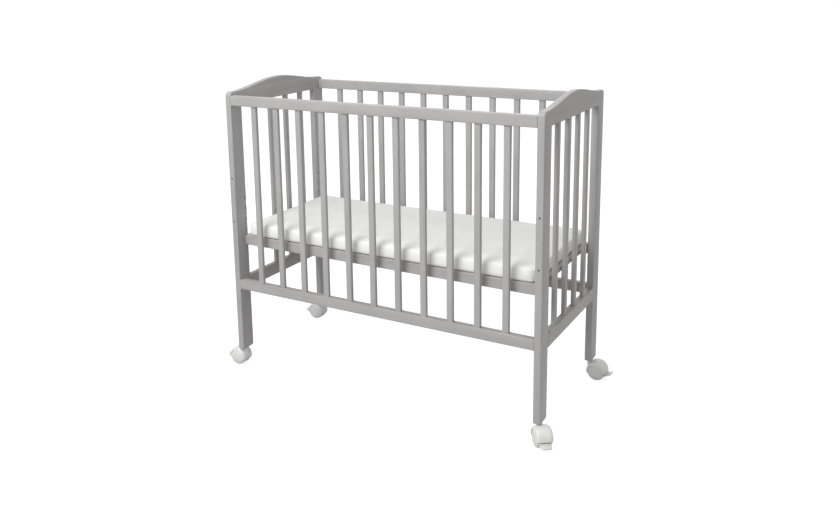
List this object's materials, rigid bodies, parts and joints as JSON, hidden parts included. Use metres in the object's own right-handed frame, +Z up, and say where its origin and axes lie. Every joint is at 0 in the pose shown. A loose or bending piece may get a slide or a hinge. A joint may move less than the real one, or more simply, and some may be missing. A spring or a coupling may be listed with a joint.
{
  "type": "bedside crib",
  "caption": "Slatted wooden bedside crib with shaped end crests, raised slatted base, crowned mattress and braked twin-wheel casters.",
  "frame": {"origin": "on the floor, at the plan centre of the four legs", "axes": "+X along the crib to the right, +Y from the front to the rear, +Z up"},
  "size_m": [1.063, 0.4932, 0.855],
  "materials": {
    "lacquered_wood": "pale grey satin lacquer over fine grain",
    "mattress_cover": "white woven cotton",
    "caster_plastic": "satin",
    "wheel_plastic": "satin",
    "zinc_steel": "zinc plated"
  },
  "bodies": {
    "frame": {"left_front_post": "lacquered_wood", "left_rear_post": "lacquered_wood", "right_front_post": "lacquered_wood", "right_rear_post": "lacquered_wood", "left_crest": "lacquered_wood", "left_end_rail": "lacquered_wood", "left_end_slat_1": "lacquered_wood", "left_end_slat_2": "lacquered_wood", "left_end_slat_3": "lacquered_wood", "left_end_slat_4": "lacquered_wood", "right_crest": "lacquered_wood", "right_end_rail": "lacquered_wood", "right_end_slat_1": "lacquered_wood", "right_end_slat_2": "lacquered_wood", "right_end_slat_3": "lacquered_wood", "right_end_slat_4": "lacquered_wood", "front_top_rail": "lacquered_wood", "front_bottom_rail": "lacquered_wood", "front_slats": "lacquered_wood", "rear_top_rail": "lacquered_wood", "rear_bottom_rail": "lacquered_wood", "rear_slats": "lacquered_wood", "side_bolts": "zinc_steel", "side_nuts": "zinc_steel", "base_pins": "zinc_steel", "left_front_caster_stem": "zinc_steel", "left_rear_caster_stem": "zinc_steel", "right_front_caster_stem": "zinc_steel", "right_rear_caster_stem": "zinc_steel"},
    "base": {"base_front_bar": "lacquered_wood", "base_rear_bar": "lacquered_wood", "base_slats": "lacquered_wood"},
    "mattress": {"mattress": "mattress_cover"},
    "left_front_caster": {"left_front_caster_housing": "caster_plastic", "left_front_caster_axle": "zinc_steel"},
    "left_front_wheel_1": {"left_front_caster_wheel_1": "wheel_plastic"},
    "left_front_wheel_2": {"left_front_caster_wheel_2": "wheel_plastic"},
    "left_front_lever": {"left_front_brake_lever": "caster_plastic"},
    "left_rear_caster": {"left_rear_caster_housing": "caster_plastic", "left_rear_caster_axle": "zinc_steel"},
    "left_rear_wheel_1": {"left_rear_caster_wheel_1": "wheel_plastic"},
    "left_rear_wheel_2": {"left_rear_caster_wheel_2": "wheel_plastic"},
    "left_rear_lever": {"left_rear_brake_lever": "caster_plastic"},
    "right_front_caster": {"right_front_caster_housing": "caster_plastic", "right_front_caster_axle": "zinc_steel"},
    "right_front_wheel_1": {"right_front_caster_wheel_1": "wheel_plastic"},
    "right_front_wheel_2": {"right_front_caster_wheel_2": "wheel_plastic"},
    "right_front_lever": {"right_front_brake_lever": "caster_plastic"},
    "right_rear_caster": {"right_rear_caster_housing": "caster_plastic", "right_rear_caster_axle": "zinc_steel"},
    "right_rear_wheel_1": {"right_rear_caster_wheel_1": "wheel_plastic"},
    "right_rear_wheel_2": {"right_rear_caster_wheel_2": "wheel_plastic"},
    "right_rear_lever": {"right_rear_brake_lever": "caster_plastic"}
  },
  "joints": [
    {"name": "base_lift", "type": "slide", "parent": "frame", "child": "base", "axis": [0, 0, 1], "range_m": [0, 0.128]},
    {"name": "mattress_lift", "type": "slide", "parent": "base", "child": "mattress", "axis": [0, 0, 1], "range_m": [0, 0.42]},
    {"name": "left_front_swivel", "type": "hinge", "parent": "frame", "child": "left_front_caster", "pos_m": [-0.4655, -0.204, 0.058], "axis": [0, 0, 1], "continuous": true},
    {"name": "left_front_wheel_1_spin", "type": "hinge", "parent": "left_front_caster", "child": "left_front_wheel_1", "pos_m": [-0.4875, -0.204, 0.025], "axis": [0, 1, 0], "continuous": true},
    {"name": "left_front_wheel_2_spin", "type": "hinge", "parent": "left_front_caster", "child": "left_front_wheel_2", "pos_m": [-0.4875, -0.204, 0.025], "axis": [0, 1, 0], "continuous": true},
    {"name": "left_front_brake", "type": "hinge", "parent": "left_front_caster", "child": "left_front_lever", "pos_m": [-0.50629, -0.204, 0.01816], "axis": [0, -1, 0], "range_deg": [0, 20]},
    {"name": "left_rear_swivel", "type": "hinge", "parent": "frame", "child": "left_rear_caster", "pos_m": [-0.4655, 0.204, 0.058], "axis": [0, 0, 1], "continuous": true},
    {"name": "left_rear_wheel_1_spin", "type": "hinge", "parent": "left_rear_caster", "child": "left_rear_wheel_1", "pos_m": [-0.4875, 0.204, 0.025], "axis": [0, 1, 0], "continuous": true},
    {"name": "left_rear_wheel_2_spin", "type": "hinge", "parent": "left_rear_caster", "child": "left_rear_wheel_2", "pos_m": [-0.4875, 0.204, 0.025], "axis": [0, 1, 0], "continuous": true},
    {"name": "left_rear_brake", "type": "hinge", "parent": "left_rear_caster", "child": "left_rear_lever", "pos_m": [-0.50629, 0.204, 0.01816], "axis": [0, -1, 0], "range_deg": [0, 20]},
    {"name": "right_front_swivel", "type": "hinge", "parent": "frame", "child": "right_front_caster", "pos_m": [0.4655, -0.204, 0.058], "axis": [0, 0, 1], "continuous": true},
    {"name": "right_front_wheel_1_spin", "type": "hinge", "parent": "right_front_caster", "child": "right_front_wheel_1", "pos_m": [0.47904, -0.22134, 0.025], "axis": [-0.788, -0.6157, 0], "continuous": true},
    {"name": "right_front_wheel_2_spin", "type": "hinge", "parent": "right_front_caster", "child": "right_front_wheel_2", "pos_m": [0.47904, -0.22134, 0.025], "axis": [-0.788, -0.6157, 0], "continuous": true},
    {"name": "right_front_brake", "type": "hinge", "parent": "right_front_caster", "child": "right_front_lever", "pos_m": [0.49062, -0.23615, 0.01816], "axis": [0.788, 0.6157, 0], "range_deg": [-20, 0]},
    {"name": "right_rear_swivel", "type": "hinge", "parent": "frame", "child": "right_rear_caster", "pos_m": [0.4655, 0.204, 0.058], "axis": [0, 0, 1], "continuous": true},
    {"name": "right_rear_wheel_1_spin", "type": "hinge", "parent": "right_rear_caster", "child": "right_rear_wheel_1", "pos_m": [0.4875, 0.204, 0.025], "axis": [0, -1, 0], "continuous": true},
    {"name": "right_rear_wheel_2_spin", "type": "hinge", "parent": "right_rear_caster", "child": "right_rear_wheel_2", "pos_m": [0.4875, 0.204, 0.025], "axis": [0, -1, 0], "continuous": true},
    {"name": "right_rear_brake", "type": "hinge", "parent": "right_rear_caster", "child": "right_rear_lever", "pos_m": [0.50629, 0.204, 0.01816], "axis": [0, 1, 0], "range_deg": [0, 20]}
  ]
}
